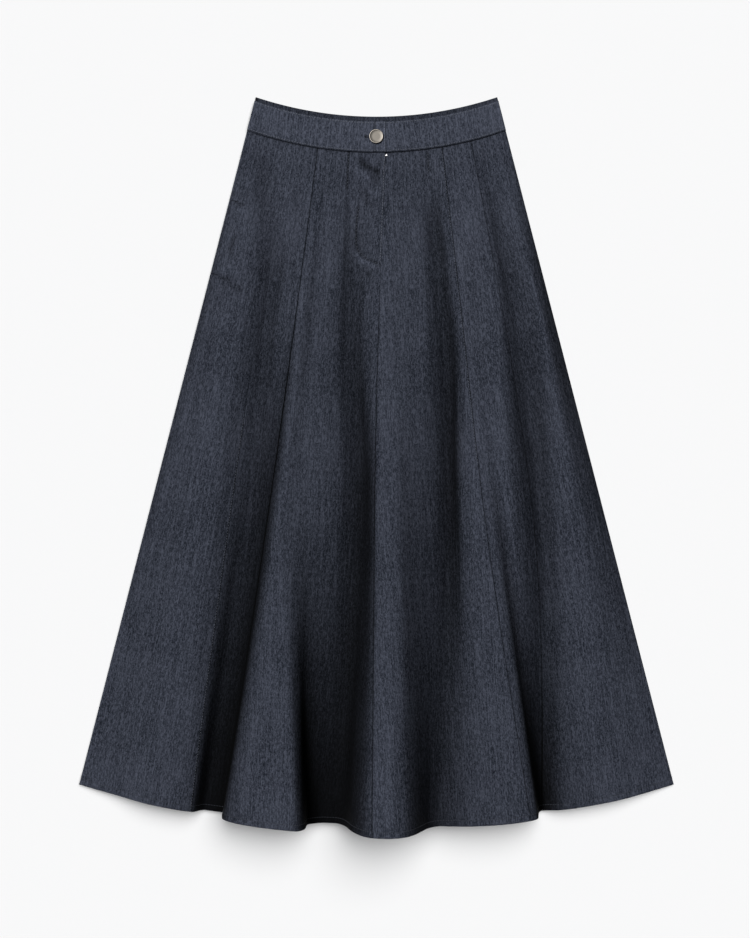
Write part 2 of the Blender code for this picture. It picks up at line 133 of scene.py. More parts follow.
# Lines that run down the front from the waist seam to the hem: shares of the half width at the
# waist, a quarter of the way down, halfway and at the hem, and the height of the outer face in
# millimetres at the last three. At the waist the height is the crown's.
MARKS = np.array((0.0, 0.25, 0.5, 1.0))
FOLDS = (
    # name, waist, quarter, halfway, hem, height at quarter, halfway, hem
    ("side_left", -1.000, -1.000, -1.000, -1.000, 3.3, 3.3, 3.3),
    ("left_side_roll", -0.965, -0.965, -0.965, -0.955, 8.0, 8.5, 6.0),
    ("left_panel_rise", -0.920, -0.920, -0.910, -0.880, 11.0, 12.5, 10.5),
    ("left_panel_crest", -0.860, -0.840, -0.800, -0.740, 14.5, 20.0, 23.5),
    ("left_panel_fall", -0.780, -0.760, -0.735, -0.660, 14.0, 19.0, 25.0),
    ("seam_outer_left", -0.683, -0.668, -0.648, -0.612, 8.5, 12.5, 23.0),
    ("left_panel_foot", -0.645, -0.635, -0.570, -0.570, 5.5, 5.2, 5.0),
    ("left_flute_foot", -0.600, -0.605, -0.530, -0.512, 6.0, 4.7, 4.7),
    ("left_flute_wall", -0.520, -0.555, -0.505, -0.510, 12.0, 8.5, 10.0),
    ("seam_princess_left", -0.443, -0.458, -0.476, -0.510, 18.5, 17.0, 17.0),
    ("left_flute_edge", -0.425, -0.445, -0.460, -0.505, 19.5, 22.0, 34.0),
    ("left_flute_shoulder", -0.410, -0.430, -0.443, -0.452, 20.3, 26.0, 48.5),
    ("left_flute_crest", -0.395, -0.415, -0.418, -0.350, 20.5, 27.5, 56.0),
    ("left_flute_fall", -0.375, -0.398, -0.388, -0.262, 19.5, 26.0, 59.0),
    ("left_flute_drop", -0.355, -0.380, -0.355, -0.233, 18.0, 24.0, 47.0),
    ("left_flute_end", -0.330, -0.355, -0.310, -0.226, 17.0, 22.0, 25.0),
    ("centre_left_shelf", -0.280, -0.290, -0.270, -0.205, 16.5, 20.5, 18.0),
    ("centre_left_fall", -0.220, -0.220, -0.170, -0.170, 13.5, 15.5, 12.5),
    ("centre_left_floor", -0.190, -0.172, -0.105, -0.140, 8.5, 9.5, 12.5),
    ("centre_flute_foot", -0.160, -0.145, -0.080, -0.112, 7.5, 9.0, 20.0),
    ("centre_flute_flank", -0.120, -0.115, -0.056, -0.078, 10.5, 14.0, 50.0),
    ("centre_flute_shoulder", -0.060, -0.065, -0.030, -0.046, 17.5, 25.5, 68.0),
    ("seam_centre", 0.067, 0.014, -0.008, -0.015, 22.0, 33.0, 76.5),
    ("centre_flute_crest", 0.100, 0.060, 0.040, 0.042, 22.5, 37.0, 80.0),
    ("centre_flute_fall", 0.160, 0.120, 0.088, 0.092, 21.0, 35.8, 75.0),
    ("centre_right_slope", 0.220, 0.200, 0.145, 0.122, 18.5, 30.0, 65.0),
    ("centre_flute_drop", 0.285, 0.280, 0.215, 0.148, 16.0, 22.5, 50.0),
    ("centre_right_foot", 0.330, 0.330, 0.275, 0.175, 11.5, 15.5, 36.0),
    ("centre_right_floor", 0.375, 0.375, 0.325, 0.205, 7.5, 9.5, 31.0),
    ("right_flute_foot", 0.400, 0.402, 0.352, 0.235, 9.0, 14.0, 34.0),
    ("right_flute_rise", 0.425, 0.435, 0.375, 0.315, 15.5, 23.5, 42.0),
    ("right_flute_crest", 0.465, 0.462, 0.430, 0.425, 18.8, 30.0, 47.0),
    ("seam_princess_right", 0.496, 0.484, 0.473, 0.503, 19.8, 31.5, 44.0),
    ("right_flute_edge", 0.550, 0.535, 0.515, 0.528, 20.0, 30.3, 38.0),
    ("right_flute_dip", 0.600, 0.585, 0.548, 0.533, 19.3, 27.5, 26.0),
    ("right_flute_bump", 0.640, 0.650, 0.600, 0.538, 19.3, 28.5, 14.0),
    ("right_flute_wall", 0.680, 0.690, 0.650, 0.545, 18.8, 23.5, 7.0),
    ("seam_outer_right", 0.720, 0.720, 0.700, 0.552, 17.0, 14.5, 4.7),
    ("right_valley", 0.785, 0.795, 0.740, 0.575, 9.0, 8.5, 7.5),
    ("right_valley_far", 0.830, 0.840, 0.775, 0.600, 8.3, 10.0, 13.0),
    ("right_panel_rise", 0.870, 0.875, 0.810, 0.660, 10.5, 15.0, 17.5),
    ("right_panel_crest", 0.920, 0.925, 0.885, 0.770, 13.5, 19.5, 18.5),
    ("right_panel_fall", 0.965, 0.965, 0.950, 0.930, 9.5, 12.5, 8.5),
    ("side_right", 1.000, 1.000, 1.000, 1.000, 3.3, 3.3, 3.3),
)
FOLD_VALUES = np.array([row[1:] for row in FOLDS])
LINE = {row[0]: number for number, row in enumerate(FOLDS)}

# Shade beside the gore seams, and the levels over which two of them begin
SEAM_SHADE = {"seam_outer_left": 0.3, "seam_princess_left": 0.6, "seam_princess_right": 0.45,
              "seam_outer_right": 0.3, "seam_centre": 0.45}
SEAM_STARTS = {"seam_outer_left": (0.38, 0.50), "seam_centre": (0.17, 0.24)}

# Shade inside the folds: how light open cloth is, and how fast it darkens as its neighbours close
# in. It is worked out on this many points of a section, and softened over a few of them.
OPEN_LIGHT = 1.06
FOLD_SHADE = 6.5
SKY_POINTS = 260
SKY_SOFT = 5

# Gores of the front, each from one line to another
GORES = (
    ("front_side_left", "side_left", "seam_outer_left"),
    ("front_middle_left", "seam_outer_left", "seam_princess_left"),
    ("front_centre_left", "seam_princess_left", "seam_centre"),
    ("front_centre_right", "seam_centre", "seam_princess_right"),
    ("front_middle_right", "seam_princess_right", "seam_outer_right"),
    ("front_side_right", "seam_outer_right", "side_right"),
)

# Creases on the front: both ends in millimetres from the origin, the sideways bow of
# the line between them, half width, and height (negative for a trough)
CREASES = (
    # x0, y0, x1, y1, bow, half width, height
    (-21, 379, -3, 365, 2, 3.8, -2.7),
    (-4, 365, 9, 360.5, 0, 3.8, -2.2),
    (-6, 356, 9, 351, 0, 6.8, -3.0),
    (-26, 367, -6, 350, 2, 5.0, 1.2),
    (-20, 340, -8, 330, 2, 4.0, -1.1),
    (-16, 326, -2, 319, 1, 4.0, -0.9),
    (-9, 334, 6, 338, 1, 3.6, 0.8),
    (-34, 336, -28, 292, -2, 5.0, 1.0),
    (-31, 262, -18, 244, -3, 3.6, 1.3),
    (-20, 249, -2, 240, -2, 3.4, 1.2),
    (-12, 240, -6, 226, 1, 3.6, -0.9),
    (-142, 384, -141, 300, -3, 13.0, -4.5),
    (-141, 300, -137, 226, 2, 12.0, -2.5),
    (-108, 384, -112, 250, 3, 13.0, 2.5),
    (80, 330, 84, 250, 4, 12.0, -3.0),
    (110, 380, 116, 260, -3, 14.0, 2.0),
    (-179, 326, -167, 321, 1, 3.0, -1.0),
    (-176, 316, -164, 313, 1, 3.4, 0.9),
    (-176, 282, -184, 258, 3, 4.0, -1.4),
    (-201, 231, -184, 227, 1, 3.0, -1.1),
    (-196, 240, -176, 235, 1, 4.0, 1.1),
    (-186, 222, -166, 214, 2, 4.0, -1.2),
)

# The left side pocket's opening, as radii
POCKET_TOP = 0.750
POCKET_FOOT = 0.846

# Short waist darts: piece, top and foot in millimetres
DARTS = (
    ("front_centre_left", (-34.9, 388.0), (-37.0, 341.5)),
    ("front_centre_right", (64.6, 387.0), (65.8, 364.0)),
)

CAD_STEPS = (1.8 * MM, 3.4 * MM)
HEM_ROWS = np.array((0.0, 0.8, 1.8, 3.6, 5.4, 6.2, 6.8, 7.4, 8.2, 9.5, 12.0)) * MM
PANELS = {}
HEM_STARTS = {}


class SkirtSizes(PropertyGroup):
    """Sizes that a maker would change."""

    wall: FloatProperty(
        name="Denim thickness", description="Thickness of one layer of denim",
        default=0.7 * MM, min=0.3 * MM, max=1.5 * MM, precision=5, unit="LENGTH")
    hem_depth: FloatProperty(
        name="Hem depth", description="Height of the turned-up hem",
        default=8.5 * MM, min=4.0 * MM, max=40.0 * MM, precision=5, unit="LENGTH")
    hem_stitch: FloatProperty(
        name="Hem stitch line", description="Distance of the hem's stitch line from the edge",
        default=6.8 * MM, min=2.0 * MM, max=35.0 * MM, precision=5, unit="LENGTH")
    stitch_length: FloatProperty(
        name="Stitch length", description="Length of one stitch of the visible seams",
        default=2.8 * MM, min=1.5 * MM, max=5.0 * MM, precision=5, unit="LENGTH")
    thread: FloatProperty(
        name="Thread", description="Diameter of the stitching thread",
        default=0.55 * MM, min=0.2 * MM, max=1.0 * MM, precision=5, unit="LENGTH")
    button: FloatProperty(
        name="Button diameter", description="Diameter of the waist button",
        default=17.6 * MM, min=12.0 * MM, max=25.0 * MM, precision=5, unit="LENGTH")
    grid: FloatProperty(
        name="Mesh spacing", description="Distance between the points of the cloth",
        default=2.4 * MM, min=1.5 * MM, max=10.0 * MM, precision=5, unit="LENGTH")


def linear(code):
    """Linear colour of an sRGB hex value."""
    values = [int(code[i:i + 2], 16) / 255.0 for i in (1, 3, 5)]
    return tuple(v / 12.92 if v <= 0.04045 else ((v + 0.055) / 1.055) ** 2.4 for v in values)


def colour_setting(name, description, code):
    return FloatVectorProperty(
        name=name, description=description, default=linear(code), size=3, min=0.0, max=1.0,
        subtype="COLOR")


class SkirtColours(PropertyGroup):
    """Colours that a maker would change."""

    denim: colour_setting("Denim", "Indigo warp of the denim", "#171b23")
    fleck: colour_setting("Fleck", "Pale weft that shows between the warp threads", "#484c58")
    thread: colour_setting("Thread", "Stitching thread", "#70747f")
    metal: colour_setting("Metal", "Nickel of the button and the zip teeth", "#b1aaa0")
    tape: colour_setting("Tape", "Zip tape", "#25272d")
    lining: colour_setting("Pocketing", "Cotton of the pocket bag", "#3a3c42")
    floor: colour_setting("Floor", "Studio floor", "#f8f8f8")


# ---------------------------------------------------------------- form of the skirt

def place(across, radius, height):
    """Points of the sector, from shares of the half width, radii and heights."""
    angle = np.asarray(across) * HALF_ANGLE
    x = radius * np.sin(angle)
    y = APEX_Y - radius * np.cos(angle)
    return np.stack(np.broadcast_arrays(x, y, height), axis=-1).astype(float)


def ease(value, start, end):
    """Smooth step from 0 at start to 1 at end."""
    share = np.clip((value - start) / (end - start), 0.0, 1.0)
    return share * share * (3.0 - 2.0 * share)


def bow(across):
    """1 at the centre line and 0 at the side seams."""
    return 1.0 - np.asarray(across) ** 2


def slopes(along, value):
    """Slopes at the points of a section that keep the curve from overshooting them."""
    step = np.diff(along)
    rate = np.diff(value) / step
    slope = np.zeros_like(value)
    slope[0], slope[-1] = rate[0], rate[-1]
    for i in range(1, len(value) - 1):
        if rate[i - 1] * rate[i] > 0.0:
            before = step[i - 1] + 2.0 * step[i]
            after = 2.0 * step[i - 1] + step[i]
            slope[i] = (before + after) / (before / rate[i - 1] + after / rate[i])
    return slope


def hermite(along, value, at):
    """Curve through a section's points, read at distances along it."""
    slope = slopes(along, value)
    first = np.clip(np.searchsorted(along, at, side="right") - 1, 0, len(value) - 2)
    span = along[first + 1] - along[first]
    share = (at - along[first]) / span
    return (value[first] * (1 + 2 * share) * (1 - share) ** 2
            + value[first + 1] * share ** 2 * (3 - 2 * share)
            + slope[first] * span * share * (1 - share) ** 2
            - slope[first + 1] * span * share ** 2 * (1 - share))


def seam_radius(across):
    return FRONT_SEAM_RADIUS + FRONT_DIP * bow(across)


def sections(levels):
    """For each level: distances along its section of the front, shares across and heights."""
    crown = (SIDE_HEIGHT + CROWN * bow(FOLD_VALUES[:, 0])) / MM
    marked = np.column_stack((crown, FOLD_VALUES[:, 4:]))
    across = np.array([hermite(MARKS, values, levels) for values in FOLD_VALUES[:, :4]]).T
    height = np.array([hermite(MARKS, values, levels) for values in marked]).T * MM
    height[:, 1:-1] = np.maximum(height[:, 1:-1], LOWEST)
    radius = FRONT_SEAM_RADIUS + FRONT_LENGTH * levels[:, None]
    width = across * radius * math.sin(HALF_ANGLE)
    steps = np.hypot(np.diff(width, axis=1), np.diff(height, axis=1))
    along = np.concatenate((np.zeros((len(levels), 1)), np.cumsum(steps, axis=1)), axis=1)
    return along, across, height


def open_sky(run, rise, side):
    """How much sky stays open on one side, from the steepest rise of the cloth there."""
    climb = np.maximum(rise, 0.0) / np.maximum(np.abs(run), 1.0 * MM)
    climb = np.where(run * side > 0.0, climb, 0.0)
    return 1.0 / np.sqrt(1.0 + climb.max(axis=1) ** 2)


def fold_light(levels):
    """For each level: distances along its section, and how light the folds' form leaves the cloth."""
    alongs, shares, heights = sections(levels)
    lines = []
    for level, along, across, height in zip(levels, alongs, shares, heights):
        at = np.linspace(0.0, along[-1], SKY_POINTS)
        radius = FRONT_SEAM_RADIUS + FRONT_LENGTH * level
        flat = hermite(along, across, at) * radius * math.sin(HALF_ANGLE)
        high = hermite(along, height, at)
        run = flat[None, :] - flat[:, None]
        rise = high[None, :] - high[:, None]
        sky = 0.5 * (open_sky(run, rise, -1.0) + open_sky(run, rise, 1.0))
        padded = np.pad(sky, SKY_SOFT // 2, "edge")
        soft = np.convolve(padded, np.ones(SKY_SOFT) / SKY_SOFT, "valid")
        lines.append((at, OPEN_LIGHT * soft ** FOLD_SHADE))
    return lines


def spread(length, spacing, count=None):
    """Distances from 0 to length, close together near both ends."""
    near = np.array((0.0, 0.2, 0.5, 0.9, 1.5)) * MM
    inner = near[-1]
    if count is None:
        count = max(2, int(round((length - 2 * inner) / spacing)))
    middle = np.linspace(inner, length - inner, count + 1)
    return np.concatenate((near[:-1], middle, length - near[-2::-1]))


def outwards(points):
    """Unit normals of a grid whose rows run from waist to hem and columns from left to right."""
    normal = np.cross(np.gradient(points, axis=0), np.gradient(points, axis=1))
    return normal / np.maximum(np.linalg.norm(normal, axis=2, keepdims=True), 1e-12)


def crease_relief(points):
    """Height that the creases add at each point, and how much they shade the cloth."""
    x, y = points[..., 0] / MM, points[..., 1] / MM
    total = np.zeros(x.shape)
    shade = np.zeros(x.shape)
    for x0, y0, x1, y1, bend, half_width, height in CREASES:
        dx, dy = x1 - x0, y1 - y0
        length = math.hypot(dx, dy)
        run = ((x - x0) * dx + (y - y0) * dy) / length ** 2
        off = ((x - x0) * dy - (y - y0) * dx) / length
        off = off - bend * 4.0 * run * (1.0 - run)
        taper = ease(run, -0.25, 0.3) * (1.0 - ease(run, 0.7, 1.25))
        rise = height * taper * np.exp(-(off / half_width) ** 2)
        total += rise
        # Painted shade in the troughs and painted light on the ridges, stronger for narrow creases
        shade += 0.25 * rise * (4.2 / half_width) ** 1.5
    return total * MM, shade


def sewn_grooves(name, points, half_width):
    """1 on the lines that are sewn into a gore, the fly's stitches and the darts, and 0 off them."""
    away = np.full(points.shape[:2], 1.0)
    lines = [np.linspace(top, foot, 25) * MM for piece, top, foot in DARTS if piece == name]
    if name == "front_centre_left":
        lines.append(fly_curve())
    for line in lines:
        for x, y in line:
            away = np.minimum(away, np.hypot(points[..., 0] - x, points[..., 1] - y))
    return np.exp(-(away / half_width) ** 2)


def edge_roll(distance, radius):
    """How far the cloth turns down at a distance from a seamed edge."""
    near = np.clip(radius - distance, 0.0, None)
    return radius - np.sqrt(radius ** 2 - near ** 2)


# ---------------------------------------------------------------- making meshes

def keep(made, slot, *nodes):
    """Parents a finished piece to the frame's body, and hides the frame's pieces of the names given."""
    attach(made, BODY)
    if nodes:
        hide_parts(*nodes)
    return made


def object_from(bm, name, look, sharp=None):
    mesh = bpy.data.meshes.new(name)
    bm.to_mesh(mesh)
    bm.free()
    mesh.materials.append(look)
    mesh.shade_smooth()
    if sharp is not None:
        mesh.set_sharp_from_angle(angle=math.radians(sharp))
    made = bpy.data.objects.new(name, mesh)
    bpy.context.collection.objects.link(made)
    return made


def sheet_mesh(name, look, points, cloth, wear, wall):
    """A sheet of cloth on a grid of points, with its own cloth coordinates, thickened inwards.

    Rows run from waist to hem and columns from left to right, seen from outside.
    """
    rows, columns = points.shape[:2]
    bm = bmesh.new()
    bmesh.ops.create_grid(bm, x_segments=columns - 1, y_segments=rows - 1, size=1.0)
    made = object_from(bm, name, look)
    mesh = made.data
    flat = np.empty(len(mesh.vertices) * 3)
    mesh.vertices.foreach_get("co", flat)
    flat = flat.reshape(-1, 3)
    column = np.rint((flat[:, 0] + 1.0) / 2.0 * (columns - 1)).astype(int)
    row = rows - 1 - np.rint((flat[:, 1] + 1.0) / 2.0 * (rows - 1)).astype(int)
    mesh.vertices.foreach_set("co", points[row, column].ravel())
    corner = np.empty(len(mesh.loops), dtype=int)
    mesh.loops.foreach_get("vertex_index", corner)
    layer = mesh.uv_layers.new(name="cloth")
    layer.data.foreach_set("uv", cloth[row, column][corner].ravel())
    # Painted light and shade at each point, kept for the cloth's colour
    painted_light_attribute = mesh.attributes.new("wear", "FLOAT", "POINT")
    painted_light_attribute.data.foreach_set("value", wear[row, column].astype(float))
    mesh.update()
    thick = made.modifiers.new("wall", "SOLIDIFY")
    thick.thickness = wall
    thick.offset = -1.0
    thick.use_even_offset = False
    return made


def cloth_piece(name, colours, points, cloth, wear, wall):
    """A piece of denim that stands for the frame's piece of that name."""
    made = sheet_mesh(name + "_cloth", look("indigo_denim_twill", colours), points, cloth, wear, wall)
    keep(made, "indigo_denim", name)


def run_along(points):
    """Distances along a line of points from its first one."""
    steps = np.linalg.norm(np.diff(points, axis=0), axis=1)
    return np.concatenate(([0.0], np.cumsum(steps)))


def cloth_coordinates(points):
    """Metres across and along the cloth, measured on the cloth from each row's middle."""
    across = np.cumsum(np.linalg.norm(np.diff(points, axis=1), axis=2), axis=1)
    across = np.concatenate((np.zeros((len(points), 1)), across), axis=1)
    across -= across[:, -1:] / 2
    along = run_along(points[:, points.shape[1] // 2])
    return np.stack(np.broadcast_arrays(across, along[:, None]), axis=-1)


def hem_turn(points, outward, radius, depth, rows_up=4):
    """Rows that turn the cloth round at the hem and up again on its inside."""
    down = points[-1] - points[-2]
    down /= np.linalg.norm(down, axis=1, keepdims=True)
    edge, out = points[-1], outward[-1]
    turned = []
    for step in range(1, 7):
        angle = math.pi * step / 6
        turned.append(edge - out * radius + (out * math.cos(angle) + down * math.sin(angle)) * radius)
    lengths = np.linalg.norm(points[-1] - points, axis=2).mean(axis=1)
    for step in range(1, rows_up + 1):
        up = depth * step / rows_up
        row = int(np.argmin(np.abs(lengths - up)))
        turned.append(points[row] - outward[row] * 2 * radius)
    return np.array(turned)


# ---------------------------------------------------------------- materials

def node(tree, kind, inputs=None, **settings):
    """Adds a node with its settings, and gives its inputs values or links."""
    made = tree.nodes.new(kind)
    for name, value in settings.items():
        setattr(made, name, value)
    for name, value in (inputs or {}).items():
        if isinstance(value, bpy.types.NodeSocket):
            tree.links.new(value, made.inputs[name])
        else:
            made.inputs[name].default_value = value
    return made


def new_material(name, roughness, metallic, specular):
    made = bpy.data.materials.new(name)
    made.use_nodes = True
    tree = made.node_tree
    shader = tree.nodes["Principled BSDF"]
    shader.inputs["Roughness"].default_value = roughness
    shader.inputs["Metallic"].default_value = metallic
    shader.inputs["Specular IOR Level"].default_value = specular
    return made, tree, shader


def per_mm(across, along):
    """Mapping scale for a pattern whose grain is this many millimetres across and along."""
    return (1.0 / (across * MM), 1.0 / (along * MM), 1.0)


def denim(colours):
    """Twill of indigo warp over a paler weft: matt, flecked, with slubs along the warp.

    The real weave repeats at under a millimetre, too fine to show from here, so fleck and grain
    are drawn coarser. Painted light and shade, read from an attribute, scales the cloth's colour
    and its share of pale fleck: darker in the folds, beside the seams, in creases and under
    edges, lighter on the front band, on ridges and on edges that catch the light.
    """
    made, tree, shader = new_material("indigo_denim_twill", 0.9, 0.0, 0.08)
    uv = node(tree, "ShaderNodeUVMap", uv_map="cloth").outputs["UV"]

    def noise(across, along, detail, rough, offset, bent=0.0):
        mapped = node(tree, "ShaderNodeMapping", {
            "Vector": uv, "Scale": per_mm(across, along), "Location": offset})
        return node(tree, "ShaderNodeTexNoise", {
            "Vector": mapped.outputs["Vector"], "Scale": 1.0, "Detail": detail,
            "Roughness": rough, "Distortion": bent}, noise_dimensions="2D").outputs["Fac"]

    def remap(value, low, high, to_low, to_high):
        return node(tree, "ShaderNodeMapRange", {
            "Value": value, "From Min": low, "From Max": high, "To Min": to_low,
            "To Max": to_high}).outputs["Result"]

    def maths(operation, first, second):
        made_node = node(tree, "ShaderNodeMath", operation=operation)
        for socket, value in zip(made_node.inputs, (first, second)):
            if isinstance(value, bpy.types.NodeSocket):
                tree.links.new(value, socket)
            else:
                socket.default_value = value
        return made_node.outputs["Value"]

    fleck = noise(1.6, 5.6, 2.0, 0.8, (3.1, 7.7, 0.0), 0.6)
    grain = noise(1.5, 2.0, 1.0, 0.6, (11.3, 2.9, 0.0), 0.4)
    slub = noise(1.7, 44.0, 1.0, 0.5, (5.3, 1.9, 0.0), 0.1)
    streak = noise(4.5, 95.0, 2.0, 0.6, (8.7, 0.6, 0.0), 0.2)
    cloud = noise(70.0, 120.0, 2.0, 0.5, (1.1, 4.3, 0.0))
    mix = maths("ADD", remap(fleck, 0.44, 0.68, 0.06, 0.84), remap(grain, 0.34, 0.70, 0.0, 0.40))
    mix = maths("ADD", mix, remap(slub, 0.56, 0.74, 0.0, 0.34))
    mix = maths("ADD", mix, remap(cloud, 0.3, 0.7, -0.10, 0.10))
    mix = maths("ADD", mix, remap(streak, 0.3, 0.7, -0.10, 0.10))
    # Painted light and shade: shifts the share of fleck and scales the colour
    painted_light_attribute = node(tree, "ShaderNodeAttribute", attribute_name="wear").outputs["Fac"]
    mix = maths("ADD", mix, maths("MULTIPLY", painted_light_attribute, 0.15))
    colour = node(tree, "ShaderNodeMix", data_type="RGBA", clamp_factor=True)
    tree.links.new(mix, colour.inputs["Factor"])
    colour.inputs["A"].default_value = (*colours.denim, 1.0)
    colour.inputs["B"].default_value = (*colours.fleck, 1.0)
    light = maths("MAXIMUM", maths("ADD", painted_light_attribute, 1.0), 0.02)
    shaded = node(tree, "ShaderNodeVectorMath", {"Scale": light}, operation="SCALE")
    tree.links.new(colour.outputs["Result"], shaded.inputs["Vector"])
    tree.links.new(shaded.outputs["Vector"], shader.inputs["Base Color"])
    bump = node(tree, "ShaderNodeBump", {
        "Height": maths("ADD", fleck, grain), "Strength": 0.35, "Distance": 0.25 * MM})
    tree.links.new(bump.outputs["Normal"], shader.inputs["Normal"])
    return made


def plain(name, colour, roughness, metallic, specular, grain):
    """A plain finish with a grain of this many millimetres in its colour."""
    made, tree, shader = new_material(name, roughness, metallic, specular)
    position = node(tree, "ShaderNodeTexCoord").outputs["Object"]
    noise = node(tree, "ShaderNodeTexNoise", {
        "Vector": position, "Scale": 1.0 / (grain * MM), "Detail": 2.0})
    dark = tuple(0.8 * c for c in colour)
    ramp = node(tree, "ShaderNodeMix", {"Factor": noise.outputs["Fac"]}, data_type="RGBA")
    ramp.inputs["A"].default_value = (*dark, 1.0)
    ramp.inputs["B"].default_value = (*colour, 1.0)
    tree.links.new(ramp.outputs["Result"], shader.inputs["Base Color"])
    return made


# The plain finishes: colour setting or colour, share of it, roughness, metallic, specular, grain in mm
FINISHES = {
    # Soft smooth thread, a little paler than the cloth, so that its stitches read as fine dashes
    "tonal_polyester_thread": ("thread", 1.0, 0.6, 0.0, 0.5, 1.0),
    # The same thread at a third of its colour: painted shade where it lies in the hem, nearly as dark as
    # the cloth
    "indigo_hem_thread": ("thread", 0.35, 0.9, 0.0, 0.1, 1.0),
    # Dark matt thread that draws the buttonhole, the tacks and the pocket's edge as thin lines; along
    # the fly's curve and the darts the same dark bars are painted shade in the seams' grooves
    "indigo_buttonhole_thread": ("thread", 0.10, 0.95, 0.0, 0.04, 1.0),
    # Pale warm metal with a soft highlight, for the button's rim, the slider and the teeth
    "satin_nickel": ("metal", 1.0, 0.48, 1.0, 0.5, 0.4),
    # The dished face of the button, the same metal at 0.42 of its colour: painted shade that keeps it
    # darker than its rim
    "brushed_nickel_face": ("metal", 0.42, 0.5, 1.0, 0.5, 0.4),
    # The tip of the pull, its metal painted near white: a painted highlight, a small pale spark under
    # the band
    "polished_nickel": ((0.93, 0.91, 0.92), 1.0, 0.55, 1.0, 0.5, 0.4),
    # Dull dark weave behind the fly
    "woven_zip_tape": ("tape", 1.0, 0.8, 0.0, 0.3, 1.0),
    # Thin matt cotton inside the pocket
    "cotton_pocketing": ("lining", 1.0, 0.9, 0.0, 0.2, 1.0),
}


def look(name, colours):
    """The material of this name, made once."""
    found = bpy.data.materials.get(name)
    if found:
        return found
    if name == "indigo_denim_twill":
        return denim(colours)
    tone, share, roughness, metallic, specular, grain = FINISHES[name]
    colour = getattr(colours, tone) if isinstance(tone, str) else tone
    return plain(name, tuple(share * c for c in colour), roughness, metallic, specular, grain)


# ---------------------------------------------------------------- front

def fly_step(levels, steps=(FLY_STEP, PULL_STEP)):
    """How far the right gore lies below the left one at each level of the fly."""
    pull = (steps[1] - steps[0]) * (1.0 - ease(levels, PULL_STEP_END, 2 * PULL_STEP_END))
    return (steps[0] + pull) * (1.0 - ease(levels, FLY_END, FLY_CLOSES))


def front_levels(sizes):
    """Levels of the rows, from under the waistband to where the hem starts to turn."""
    top = np.array((-6.0, -3.0, -0.6, 0.0, 0.8, 1.8)) * MM
    foot = FRONT_LENGTH - FRONT_TURN - HEM_ROWS[::-1]
    count = int(round((foot[0] - top[-1]) / (sizes.grid * 1.5)))
    middle = np.linspace(top[-1], foot[0], count + 1)[1:-1]
    extra = np.array((FLY_END, FLY_CLOSES)) * FRONT_LENGTH
    return np.union1d(np.concatenate((top, middle, foot)), extra) / FRONT_LENGTH


def hem_relief(from_edge, sizes):
    """Groove of the hem's stitches and the fullness of the turned-up cloth below it."""
    groove = -0.35 * MM * np.exp(-((from_edge - sizes.hem_stitch) / (1.1 * MM)) ** 2)
    full = 0.35 * MM * np.exp(-((from_edge - sizes.hem_stitch * 0.45) / (2.4 * MM)) ** 2)
    return groove + full


def gore_points(first, last, levels, sizes):
    """Outer face of one gore before its edges are turned, its distances from both seams, its light."""
    alongs, shares, heights = sections(levels)
    length = alongs[-1, LINE[last]] - alongs[-1, LINE[first]]
    count = max(6, int(round(length / sizes.grid)))
    rows, distances, lights = [], [], []
    folds = zip(levels, alongs, shares, heights, fold_light(levels))
    for level, along, across, height, (marks, light) in folds:
        start, end = along[LINE[first]], along[LINE[last]]
        steps = spread(end - start, sizes.grid, count)
        at = start + steps
        share = hermite(along, across, at)
        top = seam_radius(share)
        radius = top + (HEM_RADIUS - top) * level
        rows.append(place(share, radius, hermite(along, height, at)))
        distances.append((steps, steps[-1] - steps))
        lights.append(np.interp(at, marks, light))
    return np.array(rows), np.array(distances), np.array(lights)


def seam_roll(distance, seam, levels):
    """How far the cloth dips into a seam. The outer left seam lies flat in its upper part."""
    if seam.startswith("side_"):
        return edge_roll(distance, 1.5 * MM)
    if seam == "seam_centre":
        return edge_roll(distance, 0.3 * MM + 0.3 * MM * ease(levels, FLY_END, FLY_CLOSES)[:, None])
    if seam != "seam_outer_left":
        return edge_roll(distance, 0.7 * MM)
    return edge_roll(distance, 0.9 * MM) * ease(levels, 0.25, 0.42)[:, None]


